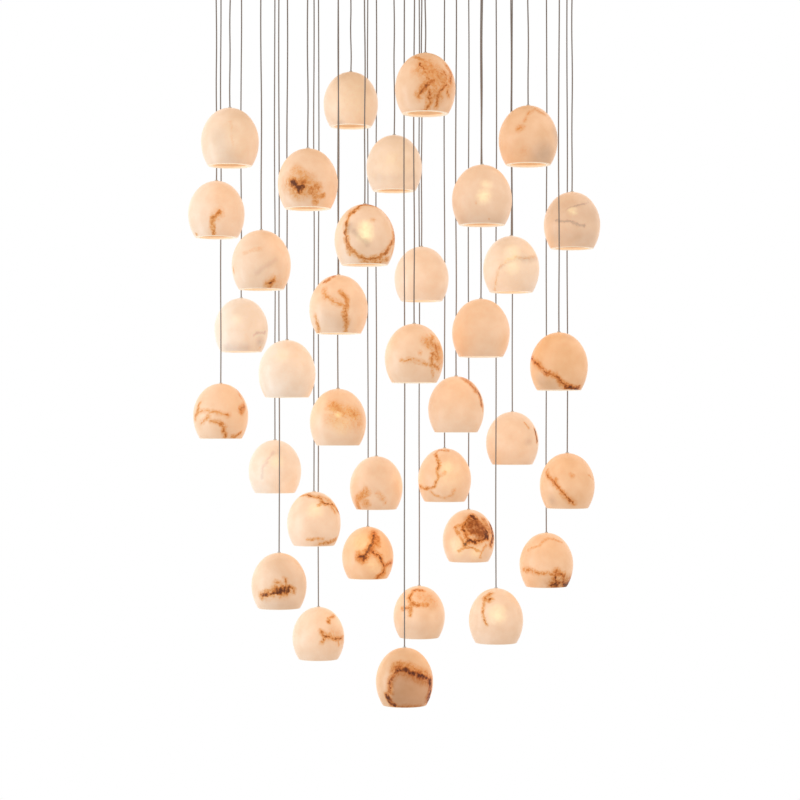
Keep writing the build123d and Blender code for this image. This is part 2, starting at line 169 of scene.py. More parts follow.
class Recipe:
    """The nodes of one material. Each method adds a node and gives back the socket that it makes."""

    def __init__(self, name):
        self.material = bpy.data.materials.new(name)
        self.material.use_nodes = True
        self.tree = self.material.node_tree
        self.shader = self.tree.nodes["Principled BSDF"]

    def feed(self, socket, value):
        if isinstance(value, bpy.types.NodeSocket):
            self.tree.links.new(value, socket)
        elif isinstance(value, tuple) and len(value) == 3 and socket.type == "RGBA":
            socket.default_value = (*value, 1.0)
        else:
            socket.default_value = value

    def node(self, kind, inputs, output=0, **settings):
        node = self.tree.nodes.new("ShaderNode" + kind)
        for name, value in settings.items():
            setattr(node, name, value)
        for key, value in inputs.items():
            self.feed(node.inputs[key], value)
        return node.outputs[output]

    def set(self, **inputs):
        for name, value in inputs.items():
            self.feed(self.shader.inputs[name.replace("_", " ")], value)

    def math(self, operation, first, second=0.0):
        return self.node("Math", {0: first, 1: second}, operation=operation)

    def vector(self, operation, first, second=(0.0, 0.0, 0.0)):
        output = 1 if operation in ("LENGTH", "DISTANCE", "DOT_PRODUCT") else 0
        return self.node("VectorMath", {0: first, 1: second}, output, operation=operation)

    def scaled(self, vector, factor):
        return self.node("VectorMath", {0: vector, "Scale": factor}, operation="SCALE")

    def axes(self, vector):
        """The X, Y and Z of a vector."""
        node = self.tree.nodes.new("ShaderNodeSeparateXYZ")
        self.feed(node.inputs[0], vector)
        return tuple(node.outputs)

    def millimetres(self):
        """Places on the piece, in millimetres of its own frame."""
        return self.scaled(self.node("TexCoord", {}, "Object"), 1000.0)

    def noise(self, place, size, detail=2.0, roughness=0.5, output=0):
        """Noise with features about size millimetres across."""
        inputs = {"Vector": place, "Scale": 1.0 / size, "Detail": detail, "Roughness": roughness}
        return self.node("TexNoise", inputs, output)

    def ease(self, value, start, end, low=0.0, high=1.0):
        """A smooth step of a value from low to high."""
        inputs = {0: value, 1: start, 2: end, 3: low, 4: high}
        return self.node("MapRange", inputs, interpolation_type="SMOOTHSTEP")

    def spread(self, value, start, end, low, high):
        """A straight mapping of a value, held at its ends."""
        return self.node("MapRange", {0: value, 1: start, 2: end, 3: low, 4: high})

    def vary(self, noise, low, high):
        """A value that follows a noise from low to high over the noise's usual range."""
        return self.spread(noise, 0.3, 0.7, low, high)

    def mix(self, share, first, second):
        inputs = {0: share, 6: first, 7: second}
        return self.node("Mix", inputs, 2, data_type="RGBA")

    def ramp(self, value, stops):
        """A colour for a value from 0 to 1, between the colours at a few stops."""
        node = self.tree.nodes.new("ShaderNodeValToRGB")
        points = node.color_ramp.elements
        for point, (position, colour) in zip((points[0], points[1]), (stops[0], stops[-1])):
            point.position = position
            point.color = (*colour, 1.0)
        for position, colour in stops[1:-1]:
            points.new(position).color = (*colour, 1.0)
        self.feed(node.inputs[0], value)
        return node.outputs[0]

    def bump(self, height, strength, distance):
        inputs = {"Height": height, "Strength": strength, "Distance": distance}
        self.set(Normal=self.node("Bump", inputs))


def near_segment_group():
    """A node group: 1 on a segment, falling evenly to 0 at a reach from it and below 0 past that."""
    group = bpy.data.node_groups.new("near_segment", "ShaderNodeTree")
    for name, kind in (("Place", "Vector"), ("Start", "Vector"), ("Along", "Vector"), ("Reach", "Float")):
        group.interface.new_socket(name, in_out="INPUT", socket_type="NodeSocket" + kind)
    group.interface.new_socket("Near", in_out="OUTPUT", socket_type="NodeSocketFloat")
    given = group.nodes.new("NodeGroupInput").outputs
    result = group.nodes.new("NodeGroupOutput").inputs

    def step(kind, operation, first, second):
        node = group.nodes.new("ShaderNode" + kind)
        node.operation = operation
        group.links.new(first, node.inputs[0])
        group.links.new(second, node.inputs["Scale" if operation == "SCALE" else 1])
        return node

    offset = step("VectorMath", "SUBTRACT", given["Place"], given["Start"]).outputs[0]
    ahead = step("VectorMath", "DOT_PRODUCT", offset, given["Along"]).outputs[1]
    square = step("VectorMath", "DOT_PRODUCT", given["Along"], given["Along"]).outputs[1]
    share = step("Math", "DIVIDE", ahead, square)
    share.use_clamp = True
    foot = step("VectorMath", "SCALE", given["Along"], share.outputs[0]).outputs[0]
    distance = step("VectorMath", "DISTANCE", offset, foot).outputs[1]
    reached = step("Math", "DIVIDE", distance, given["Reach"]).outputs[0]
    near = group.nodes.new("ShaderNodeMath")
    near.operation = "SUBTRACT"
    near.inputs[0].default_value = 1.0
    group.links.new(reached, near.inputs[1])
    group.links.new(near.outputs[0], result["Near"])
    return group


near_segment = near_segment_group()


def mark(kind):
    """A kind of mark in the stone, given by its reach in millimetres, its strength and its points.

    A point is across, in percent of the half width, and down, in percent of the height, as the camera sees
    the shade. A ring has a centre and half axes, and the other kinds have a line or a spot.
    """
    def drawn(reach, strength, *points):
        return kind, points, reach, strength

    return drawn


# Dark threads with a rusty halo, open and closed, and dark spots
vein = mark("vein")
ring = mark("ring")
blot = mark("blot")

# Soft orange-brown bands, grey-brown clouds that are partly painted shade, tan patches with a ragged edge, and
# spots of lamplight
rust = mark("rust")
haze_and_shade = mark("haze_and_shade")
stain = mark("stain")
glow = mark("glow")

# How deep the stone's colour is, from 0 for pale cream to 1 for honey, and its marks, pendant by pendant
# Grey hazes across the lower part of many stones are painted shade, where less lamplight comes through.
stones = [
    (0.2, [glow(18, 0.4, (-10, 40)), glow(60, 0.2, (0, 50)), haze_and_shade(10, 0.2, (-60, 74), (70, 70))]),
    (0.6, [rust(15, 0.65, (-20, 30), (5, 36), (25, 42), (60, 44)),
        vein(4, 0.35, (-12, 32), (3, 38), (24, 43)), vein(3, 0.3, (45, 42), (62, 44)),
        glow(9, 0.9, (0, 46)), rust(24, 0.3, (-10, 52), (70, 56)), glow(24, 0.35, (10, 60)),
        glow(18, 0.25, (-10, 36), (55, 44))]),
    (1, [stain(28, 1, (-4, 58), (62, 66)), stain(30, 1, (-8, 84), (60, 84)),
        # The dark blot down the right edge paints shade along that edge.
        blot(9, 0.95, (88, 54), (91, 70), (80, 92)),
        vein(6.5, 1, (-26, 36), (6, 36), (31, 42), (49, 45), (77, 50)),
        vein(4, 0.8, (-26, 35), (-37, 46), (-49, 54)), rust(8, 0.8, (-19, 27), (10, 31)),
        vein(4, 0.8, (-49, 54), (-52, 72)), blot(6, 0.95, (-62, 79), (-48, 91), (-32, 98)),
        blot(5, 0.95, (-22, 38), (2, 38), (30, 43), (74, 51)),
        blot(2.2, 0.55, (-36, 48), (-48, 58), (-51, 74)), haze_and_shade(50, 0.36, (-20, 20), (-40, 80)),
        rust(8, 0.6, (-20, 99), (50, 99))]),
    (0.55, [rust(8, 1, (28, 4), (60, 17), (66, 24), (82, 30), (97, 57)),
        vein(3.6, 1, (70, 22), (82, 29), (90, 42)), blot(4, 0.8, (80, 28), (89, 40), (92, 50))]),
    (0.3, []),
    (0.37, [haze_and_shade(8, 0.5, (-35, 90)), glow(60, 0.22, (0, 50))]),
    (0.08, [glow(16, 0.3, (-16, 26))]),
    (0.55, [rust(6, 1, (-18, 2), (-33, 7), (-46, 11)),
        vein(3, 0.45, (-49, 27), (-46, 37), (-21, 43), (-2, 49), (20, 52)),
        rust(6, 0.8, (7, 28), (26, 40), (29, 50), (20, 64), (26, 73), (23, 95)),
        vein(2.6, 0.6, (-78, 70), (-70, 84), (-69, 95)), haze_and_shade(20, 0.22, (-40, 72), (5, 84))]),
    (0.6, [
        rust(6, 0.8, (61, 21), (60, 31), (74, 36), (75, 45), (81, 50), (61, 52), (59, 61), (61, 68),
            (84, 76)), vein(2.2, 0.5, (72, 33), (76, 45), (82, 50)), rust(14, 0.8, (79, 56)),
        rust(16, 0.55, (50, 30), (86, 41)), rust(22, 0.45, (88, 62)), rust(3.6, 0.5, (61, 68), (64, 89)),
        vein(2, 0.45, (-45, 61), (-34, 63), (-19, 60), (6, 64), (46, 66)), vein(2.4, 0.5, (19, 49)),
        rust(4, 0.4, (29, 24), (26, 29))]),
    (0.65, []),
    (0.15, [
        vein(1.8, 0.2, (90, 34), (48, 38), (20, 36), (-11, 41), (-36, 51), (-49, 63), (-53, 77), (-58, 93)),
        haze_and_shade(5, 0.3, (90, 36), (20, 38), (-40, 55)), haze_and_shade(9, 0.4, (50, 40), (88, 38)),
        glow(18, 0.55, (6, 27), (3, 53)), glow(60, 0.12, (0, 50))]),
    (0.45, [vein(3, 0.85, (-19, 9), (-30, 14), (-41, 18), (-22, 20)),
        vein(1.8, 0.65, (-41, 20), (-50, 41), (-48, 53), (-31, 65)), glow(20, 0.8, (4, 46))]),
    (0.7, [
        vein(1.8, 0.8, (-21, 4), (-35, 12), (-23, 24), (-19, 33), (-28, 42), (-23, 55), (-39, 70),
            (-74, 75), (-94, 70)), rust(5, 0.8, (-21, 4), (10, 4)), rust(4, 0.5, (-23, 53), (0, 46)),
        vein(1.9, 0.3, (-60, 76), (-37, 87), (0, 93), (27, 87), (36, 78)), glow(15, 0.7, (9, 37)),
        glow(34, 0.3, (15, 50))]),
    (0.55, [rust(10, 0.6, (-38, 66), (-54, 74), (-70, 80), (-70, 94)), rust(12, 0.6, (-38, 88)),
        haze_and_shade(40, 0.15, (0, 25), (0, 50)), rust(8, 0.3, (6, 70), (30, 80)), vein(2.2, 0.4, (32, 86))]),
    (0.37, [vein(2.6, 0.95, (-21, 5), (-12, 9), (18, 11), (37, 21), (58, 23), (79, 27), (96, 40)),
        vein(2.6, 0.5, (58, 23), (68, 30), (77, 37)), rust(4, 0.8, (37, 21), (16, 25)),
        blot(1.6, 0.7, (37, 21), (58, 23), (79, 27)), rust(4, 0.8, (-49, 8), (-21, 5)),
        rust(8, 0.5, (20, 8), (60, 18)), rust(5, 0.6, (-22, 87), (33, 85)),
        rust(5, 0.8, (19, 96), (58, 91), (79, 87)), vein(3, 0.4, (19, 96), (58, 91)),
        glow(18, 0.6, (3, 33))]),
    (0.52, [vein(4.2, 1, (-61, 74), (-44, 71), (-23, 71), (-9, 65), (15, 64)),
        blot(9, 1, (0, 68), (14, 65), (26, 66)), blot(3, 0.9, (-56, 75), (-4, 70)),
        rust(14, 0.35, (-50, 74), (30, 67)), haze_and_shade(45, 0.25, (0, 30), (60, 50)),
        vein(2.4, 0.7, (-12, 53), (12, 56), (20, 62)), vein(2.6, 0.6, (20, 46), (23, 60)),
        vein(2.6, 0.8, (28, 59), (55, 64), (54, 69)), vein(2.6, 0.8, (-61, 74), (-60, 79)),
        haze_and_shade(20, 0.2, (-40, 90), (40, 90))]),
    (0.35, [haze_and_shade(20, 0.25, (-39, 45), (-15, 72), (15, 95)), rust(3, 0.12, (0, 22), (14, 60)),
        glow(60, 0.15, (0, 50))]),
    (0.48, [vein(4.5, 0.85, (26, 88), (43, 82)), rust(10, 0.8, (24, 93), (30, 86), (43, 82)),
        rust(5, 0.2, (-57, 38), (3, 29)), rust(20, 0.25, (50, 88)),
        haze_and_shade(6, 0.3, (-17, 69), (14, 60), (50, 49)), vein(2.4, 0.4, (-94, 62), (-92, 70))]),
    (0.62, [rust(12, 0.5, (-40, 34), (-8, 44)), vein(9, 0.8, (-53, 57), (-29, 62), (-12, 55)),
        blot(8, 1, (-50, 55), (-30, 63)), blot(5.5, 0.95, (-30, 68), (-14, 60)),
        rust(12, 0.8, (30, 62), (12, 69)), rust(6, 1, (23, 76), (54, 76)), rust(7, 0.8, (25, 85))]),
    (0.5, [ring(3.2, 0.62, (18, 47), (80, 46)), rust(7, 0.8, (-62, 53), (-56, 64), (-49, 77)),
        haze_and_shade(11, 0.55, (-54, 38)), haze_and_shade(6, 0.5, (-37, 42), (10, 63)), vein(3, 0.5, (-62, 28), (-63, 45)),
        rust(6, 0.6, (-7, 92), (50, 91), (78, 87)), rust(6, 0.6, (90, 79), (97, 61), (88, 35)),
        glow(15, 1.2, (3, 36), (3, 48)), vein(2.2, 0.5, (26, 24))]),
    (0.75, [rust(5, 0.8, (-35, 6), (6, 14)), vein(2.4, 0.8, (-18, 16), (3, 32), (10, 40)),
        vein(7, 0.8, (21, 44)), vein(4, 0.8, (21, 44), (-4, 52), (-21, 66)),
        vein(3, 0.8, (13, 56), (13, 76), (8, 82), (0, 89)),
        vein(3, 0.8, (57, 27), (68, 35), (69, 48), (50, 58), (39, 71), (35, 81)),
        vein(2.6, 0.6, (33, 50), (45, 58)), vein(3, 0.8, (71, 19), (85, 32), (81, 44)),
        vein(3, 0.6, (73, 58), (78, 66)), rust(26, 0.62, (0, 22), (40, 36), (70, 44)),
        rust(20, 0.5, (20, 62), (40, 66))]),
    (0.5, [glow(14, 1, (7, 50)), glow(11, 0.6, (15, 30)), vein(1.2, 0.3, (-20, 60)),
        vein(1.2, 0.4, (25, 87)), haze_and_shade(16, 0.15, (-60, 90), (60, 90))]),
    # This stone's grey hazes on its lower right and its right side are painted shade.
    (0.8, [vein(3.6, 0.6, (-28, 36)), vein(2, 0.35, (-10, 24), (10, 10), (26, 4)),
        rust(6, 0.4, (26, 5), (55, 14)), rust(14, 0.2, (-10, 75)), haze_and_shade(28, 0.55, (55, 78)),
        haze_and_shade(20, 0.5, (97, 48))]),
    (1, [
        vein(2.8, 1, (-97, 44), (-81, 53), (-58, 63), (-42, 71), (-26, 70), (-6, 77), (10, 87), (35, 91),
            (48, 94)), blot(6, 0.9, (28, 93), (66, 97)), rust(8, 0.6, (-97, 44), (-70, 57)),
        haze_and_shade(18, 0.35, (-60, 85), (-20, 92))]),
    (0.5, [haze_and_shade(4, 0.8, (59, 17), (29, 22), (-4, 26), (-18, 30)),
        haze_and_shade(5, 0.8, (-55, 48), (-22, 49), (15, 56), (44, 57)), glow(10, 0.8, (2, 33)),
        haze_and_shade(30, 0.3, (-50, 76), (60, 76)), haze_and_shade(40, 0.32, (-60, 30), (70, 34))]),
    (0.9, [vein(2.4, 0.8, (-73, 33), (-67, 42), (-47, 52), (-18, 68), (0, 80), (24, 91)),
        vein(4, 0.8, (-50, 51), (-46, 53)), vein(3.2, 0.6, (-18, 68), (0, 80), (22, 90)),
        vein(2.4, 0.5, (18, 39)), rust(3, 0.5, (76, 40), (95, 47)), haze_and_shade(12, 0.4, (-53, 85))]),
    (0.8, [vein(2.6, 0.55, (-86, 67), (-52, 68), (-28, 74), (-1, 73), (30, 76)),
        vein(3.4, 0.95, (37, 70), (34, 77), (38, 90), (37, 99)),
        vein(3, 0.9, (37, 74), (64, 76), (62, 90), (40, 92)), vein(5, 1, (62, 90), (77, 91), (90, 82)),
        rust(9, 0.8, (23, 92), (30, 80)), blot(8, 1, (22, 94), (38, 92)), blot(8, 1, (66, 96), (84, 90)),
        haze_and_shade(20, 0.35, (20, 94), (80, 94)), rust(16, 0.5, (24, 88), (80, 86)),
        rust(4, 0.4, (-69, 31), (-25, 24), (0, 9), (30, 12), (57, 17))]),
    (0.5, [blot(4.5, 0.95, (86, 34), (92, 45), (94, 54)), rust(4, 0.5, (47, 22), (60, 30)),
        haze_and_shade(10, 0.3, (60, 55))]),
    (0.6, [rust(24, 0.6, (18, 30), (42, 42)), stain(21, 1, (18, 30), (42, 42)),
        haze_and_shade(22, 0.3, (14, 22), (52, 38)),
        blot(10, 0.6, (4, 30), (20, 24), (46, 32), (58, 44), (32, 42), (6, 42)),
        vein(3.4, 0.9, (13, 11), (-11, 23), (-24, 33), (-15, 45), (0, 60), (25, 59), (55, 56), (73, 56),
            (69, 43), (64, 35), (44, 24), (22, 13), (13, 11)), blot(6.5, 1, (67, 42), (70, 54)),
        blot(5.5, 0.95, (10, 13), (26, 17)), blot(5, 0.95, (-16, 67), (4, 60), (24, 60)),
        blot(7, 0.85, (84, 28), (93, 48), (86, 66)), rust(12, 0.8, (60, 20), (80, 40)),
        glow(24, 0.5, (-45, 70)), glow(16, 0.5, (30, 80)), rust(6, 0.8, (-51, 33), (-30, 30)),
        rust(5, 0.8, (-51, 33), (-33, 49), (-22, 61)),
        rust(3.6, 0.8, (-40, 79), (-4, 70), (25, 73), (51, 79), (44, 89)), rust(4, 0.8, (51, 79), (68, 68)),
        rust(10, 0.8, (0, 18))]),
    (0.65, [vein(2.4, 0.6, (15, 9), (-9, 7), (-25, 10), (-37, 21), (-33, 32), (-21, 34), (5, 36), (31, 35)),
        rust(7, 0.8, (15, 9), (-9, 7), (-25, 10), (-37, 21), (-33, 32), (-21, 34), (5, 36), (31, 35)),
        rust(6, 0.8, (-65, 42), (-40, 40)), rust(6, 0.8, (-33, 40), (-33, 55)),
        rust(22, 0.3, (5, 20), (50, 28)), haze_and_shade(22, 0.16, (-40, 78), (10, 80))]),
    (1, [vein(4.4, 1, (26, 11), (19, 25), (22, 32), (10, 42), (-4, 49), (-16, 56), (-19, 62)),
        rust(10, 0.8, (-33, 51), (-33, 61)), blot(6.5, 0.95, (-32, 54), (-16, 57)),
        blot(3.4, 0.85, (20, 22), (12, 40), (-6, 50)), glow(24, 0.4, (-20, 30)), glow(18, 0.4, (20, 72)),
        vein(3.2, 0.95, (10, 42), (30, 50), (45, 56), (54, 67), (64, 75), (59, 86), (33, 97)),
        vein(3, 0.6, (64, 75), (91, 67)), rust(9, 0.8, (26, 8), (36, 22), (38, 32)),
        rust(8, 0.8, (70, 74), (95, 66)), rust(8, 0.8, (40, 95), (60, 88))]),
    (0.45, [rust(5, 0.8, (59, 16), (42, 22), (39, 28)), vein(2.6, 0.8, (28, 54), (14, 64)),
        vein(2.8, 1, (14, 46), (28, 54), (42, 55), (70, 59), (95, 57)), vein(2.6, 0.5, (70, 59), (80, 69)),
        vein(4, 0.8, (42, 55)), rust(16, 0.3, (55, 52), (92, 60))]),
    (0.1, [haze_and_shade(4, 0.35, (-3, 22), (-26, 35), (-41, 49), (-50, 70)), glow(14, 0.6, (6, 40))]),
    (0, [haze_and_shade(3.6, 0.6, (48, 69), (66, 63), (89, 62)), haze_and_shade(12, 0.5, (70, 80)), glow(12, 0.3, (-17, 40)),
        haze_and_shade(12, 0.35, (-50, 92), (20, 92)), vein(2.4, 0.3, (69, 92))]),
    (0.7, [vein(2.4, 0.45, (-85, 51), (-43, 51), (-16, 51), (0, 54), (28, 56)),
        vein(2.4, 0.55, (-71, 71), (-52, 65), (-41, 58)),
        vein(2.4, 0.6, (-38, 68), (-24, 69), (0, 71), (13, 78), (12, 86), (15, 96)),
        rust(6, 0.8, (0, 71), (13, 78), (12, 86), (15, 96)), rust(9, 0.95, (84, 41), (73, 50)),
        rust(6, 0.8, (-77, 35), (-92, 62)), rust(6, 0.8, (73, 89), (45, 96)),
        rust(6, 0.6, (60, 12), (85, 35))]),
    (0.35, [rust(6, 0.9, (12, 52), (5, 56), (-10, 61), (-17, 73), (-10, 84), (-11, 95)),
        vein(5, 0.4, (8, 54), (0, 57)), vein(4, 0.3, (-12, 84), (-11, 94)), rust(5, 0.8, (-70, 92))]),
]


def outer_radius(level):
    """Radius of the shade's outer face at a level below its crown."""
    if level > join_level:
        return math.sqrt(max(crown_radius**2 - (level - crown_centre) ** 2, 0.0))
    radius = side_radius if level > widest_level else lower_radius
    return shade_radius - radius + math.sqrt(max(radius**2 - (level - widest_level) ** 2, 0.0))


def seen_point(crown, across, down):
    """The place on a shade, in its own frame, that the camera sees at a share across and down it."""
    depth = crown.y - camera_place.y
    rise = crown.z - camera_place.z
    mouth_rise = rise + mouth_level
    low = min(mouth_rise / (depth - mouth_radius), mouth_rise / (depth + mouth_radius))
    slope_x = (crown.x - camera_place.x + across * shade_radius) / depth
    slope_z = rise / depth + down * (low - rise / depth)
    steps = 70
    closest, closest_gap = None, math.inf
    for step in range(steps + 1):
        ahead = depth - shade_radius * (1 - step / steps)
        place = camera_place + Vector((slope_x, 1.0, slope_z)) * ahead - crown
        level = min(max(place.z, mouth_level), 0.0)
        gap = math.hypot(place.x, place.y) - outer_radius(level) + abs(place.z - level)
        if gap < closest_gap:
            closest, closest_gap = place, gap
        if gap <= 0:
            break
    return closest


def stroke_places(crown, points):
    """The places of a stroke on a shade, in millimetres, close enough together to follow its curve."""
    longest = 0.018
    shares = [(across / 100, down / 100) for across, down in points]
    places = [seen_point(crown, *shares[0])]
    for (across, down), (next_across, next_down) in zip(shares, shares[1:]):
        run = math.hypot((next_across - across) * shade_radius, (next_down - down) * mouth_level)
        parts = math.ceil(run / longest)
        for part in range(1, parts + 1):
            share = part / parts
            here = across + share * (next_across - across), down + share * (next_down - down)
            places.append(seen_point(crown, *here))
    return [place * 1000 for place in places]


def stroke_nearness(recipe, place, crown, points, reach):
    """1 along a stroke of the stone, falling to 0 at its reach and below 0 past it."""
    places = stroke_places(crown, points)
    ends = places[1:] or places
    nearness = None
    for start, end in zip(places, ends):
        group = recipe.tree.nodes.new("ShaderNodeGroup")
        group.node_tree = near_segment
        given = {"Place": place, "Start": tuple(start), "Along": tuple(end - start), "Reach": reach}
        for name, value in given.items():
            recipe.feed(group.inputs[name], value)
        near = group.outputs["Near"]
        nearness = near if nearness is None else recipe.math("MAXIMUM", nearness, near)
    return nearness


def oval_nearness(recipe, place, centre, half_axes, reach):
    """1 along an oval on the front of the stone, falling to 0 at its reach and below 0 past it."""
    half_width, height = shade_radius * 10, -mouth_level * 10
    middle = (centre[0] * half_width, 0.0, -centre[1] * height)
    wide, tall = half_axes[0] * half_width, half_axes[1] * height
    offset = recipe.vector("SUBTRACT", place, middle)
    share = recipe.vector("LENGTH", recipe.vector("MULTIPLY", offset, (1 / wide, 0.0, 1 / tall)))
    away = recipe.math("ABSOLUTE", recipe.math("SUBTRACT", share, 1.0))
    return recipe.math("SUBTRACT", 1.0, recipe.math("MULTIPLY", away, (wide + tall) / 2 / reach))


def most(recipe, masks):
    """The strongest of several masks, or none at all."""
    strongest = masks[0] if masks else 0.0
    for mask in masks[1:]:
        strongest = recipe.math("MAXIMUM", strongest, mask)
    return strongest


def between(pale, deep, depth):
    """A colour between a pale and a deep one."""
    return tuple(first + depth * (second - first) for first, second in zip(pale, deep))


def lamp_distance(recipe, place):
    """How far a place on a shade is from the middle of its lamp, in millimetres."""
    return recipe.vector("DISTANCE", place, (0.0, 0.0, lamp_middle * 1000))


def stone_material(number, crown, depth, marks):
    """Lit alabaster with the clouds and veins of one globe, and the painted shade of its grey hazes."""
    recipe = Recipe(f"alabaster_{number:02d}")
    place = recipe.millimetres()
    own_place = recipe.vector("ADD", place, tuple(number * stone_shift))

    # The marks are drawn on the front; the back has them too, folded over along a wavering line and slanted
    waver = recipe.noise(own_place, size=40.0, detail=1.0)
    x, y, z = recipe.axes(place)
    fold = recipe.math("ADD", y, recipe.spread(waver, 0.25, 0.75, -fold_waver, fold_waver))
    lift = recipe.math("MULTIPLY", recipe.math("MAXIMUM", fold, 0.0), fold_slants[number % 2])
    ahead = recipe.math("MULTIPLY", recipe.math("ABSOLUTE", fold), -1.0)
    folded = recipe.node("CombineXYZ", {"X": x, "Y": ahead, "Z": recipe.math("ADD", z, lift)})
    front = recipe.math("LESS_THAN", y, front_level)
    drawn = recipe.node("Mix", {0: front, 4: folded, 5: place}, 1, data_type="VECTOR")
    for size, detail, roughness, distance in line_strays:
        stray = recipe.noise(own_place, size, detail, roughness, output=1)
        stray = recipe.vector("SUBTRACT", stray, (0.5, 0.5, 0.5))
        drawn = recipe.vector("ADD", drawn, recipe.scaled(stray, distance))
    cloud = recipe.noise(own_place, size=34.0, detail=3.0, roughness=0.55)
    grain = recipe.noise(own_place, size=7.0, detail=4.0, roughness=0.6)
    wobble = recipe.vary(grain, -0.35, 0.35)

    layers = {"thread": [], "blot": [], "rust": [], "haze_and_shade": [], "stain": [], "glow": []}
    for kind, points, reach, strength in marks:
        if kind == "ring":
            near = oval_nearness(recipe, drawn, *points, reach)
        else:
            near = stroke_nearness(recipe, drawn, crown, points, reach)
        for layer, (start, full, share) in mark_layers[kind].items():
            count = recipe.math("ADD", near, wobble) if layer in wobbling_layers else near
            layers[layer].append(recipe.ease(count, start, full, 0.0, share * strength))
    masks = {layer: most(recipe, found) for layer, found in layers.items()}

    # Rust gathers in patches, threads come and go, and fine cracks run through both
    patchy = recipe.spread(grain, 0.34, 0.6, 0.5, 1.0)
    rusty = recipe.math("MULTIPLY", masks["rust"], patchy)
    gaps = recipe.spread(recipe.noise(own_place, size=13.0), 0.38, 0.58, 0.45, 1.0)
    web = recipe.math("SUBTRACT", recipe.noise(drawn, size=15.0, detail=3.0, roughness=0.55), 0.5)
    crack = recipe.ease(recipe.math("ABSOLUTE", web), 0.0, crack_width, 1.0, 0.0)
    crack = recipe.math("MULTIPLY", crack, recipe.math("MULTIPLY", masks["rust"], crack_share))
    thread = recipe.math("MAXIMUM", recipe.math("MULTIPLY", masks["thread"], gaps), crack)
    dark = recipe.math("MULTIPLY", masks["blot"], recipe.spread(grain, 0.32, 0.6, 0.55, 1.0))
    thread = recipe.math("MAXIMUM", thread, dark)
    density = recipe.math("MULTIPLY", rusty, rust_density)
    density = recipe.math("ADD", density, recipe.math("MULTIPLY", thread, thread_density))
    tint = recipe.ramp(density, rust_tints)
    for layer, cloud_and_shade_tint in cloud_and_shade_tints.items():
        tint = recipe.vector("MULTIPLY", tint, recipe.mix(masks[layer], no_tint, cloud_and_shade_tint))

    # The stone's own colour, which its marks stain and its grey hazes darken as painted shade
    pale = between(*pale_colours, depth)
    warm = between(*warm_colours, depth)
    colour = recipe.mix(recipe.spread(cloud, 0.32, 0.68, 0.0, 1.0), pale, warm)
    colour = recipe.mix(recipe.spread(grain, 0.55, 0.8, 0.0, 0.35), colour, grain_colour)
    colour = recipe.vector("MULTIPLY", colour, tint)

    # Lamplight through the wall, strongest beside the lamp
    through = recipe.spread(lamp_distance(recipe, place), 52.0, 92.0, 1.15, 0.68)
    through = recipe.math("MULTIPLY", through, recipe.vary(cloud, 1.1, 0.9))
    light = recipe.vector("MULTIPLY", between(*lamplight, depth), tint)
    light = recipe.scaled(light, through)
    spot = recipe.scaled(spot_light, recipe.math("MULTIPLY", masks["glow"], patchy))
    light = recipe.vector("ADD", light, spot)

    rough = recipe.vary(grain, 0.30, 0.42)
    rough = recipe.math("ADD", rough, recipe.math("MULTIPLY", thread, 0.2))
    recipe.set(Base_Color=colour, Emission_Color=light, Roughness=rough)
    recipe.set(Emission_Strength=1.0, Specular_IOR_Level=0.35)
    recipe.bump(grain, strength=0.12, distance=0.0006)
    return recipe.material


def inside_material():
    """The lit inner face of a shade, brightest round the lamp."""
    recipe = Recipe("alabaster_inside")
    place = recipe.millimetres()
    cloud = recipe.noise(place, size=18.0, detail=3.0)
    through = recipe.spread(lamp_distance(recipe, place), 45.0, 85.0, 1.0, 0.72)
    light = recipe.mix(cloud, (0.36, 0.24, 0.14), (0.32, 0.19, 0.10))
    recipe.set(Base_Color=recipe.mix(cloud, (0.70, 0.60, 0.49), (0.64, 0.51, 0.40)))
    recipe.set(Emission_Color=recipe.scaled(light, through), Emission_Strength=1.0, Roughness=0.5)
    recipe.bump(cloud, strength=0.1, distance=0.0005)
    return recipe.material


def rim_material():
    """The cut stone of the mouth's edge, pale, and bright with painted lamplight."""
    recipe = Recipe("alabaster_rim")
    cloud = recipe.noise(recipe.millimetres(), size=9.0, detail=3.0)
    recipe.set(Base_Color=recipe.mix(cloud, (0.90, 0.82, 0.70), (0.86, 0.72, 0.55)))
    recipe.set(Emission_Color=recipe.mix(cloud, (0.36, 0.29, 0.21), (0.34, 0.25, 0.17)))
    recipe.set(Emission_Strength=1.0, Roughness=0.35)
    recipe.bump(cloud, strength=0.1, distance=0.0004)
    return recipe.material


def cord_material():
    """A braided sleeve: strands that wind both ways round the cord, over and under, with painted shade in the
    hollows between them.
    """
    recipe = Recipe("cord")
    strands, turns_per_millimetre = 8.0, 0.55
    place = recipe.millimetres()
    height = recipe.axes(place)[2]
    facing_x, facing_y = recipe.axes(recipe.node("NewGeometry", {}, "Normal"))[:2]
    turn = recipe.math("MULTIPLY", recipe.math("ARCTAN2", facing_y, facing_x), strands)
    climb = recipe.math("MULTIPLY", height, 2 * math.pi * turns_per_millimetre)
    one_way = recipe.math("SINE", recipe.math("ADD", turn, climb))
    other_way = recipe.math("SINE", recipe.math("SUBTRACT", turn, climb))
    weave = recipe.math("MULTIPLY", one_way, other_way)
    fuzz = recipe.noise(place, size=0.8, detail=3.0, roughness=0.6)
    # The tone follows the weave that also makes the bump, darker in its hollows: painted shade between the
    # strands.
    lift = recipe.spread(weave, -1.0, 1.0, 0.0, 0.7)
    tone = recipe.math("ADD", lift, recipe.vary(fuzz, 0.0, 0.3))
    recipe.set(Base_Color=recipe.mix(tone, (0.27, 0.21, 0.175), (0.47, 0.39, 0.335)), Roughness=0.85)
    recipe.set(Sheen_Weight=0.3, Sheen_Roughness=0.5)
    recipe.bump(weave, strength=0.5, distance=0.0002)
    return recipe.material


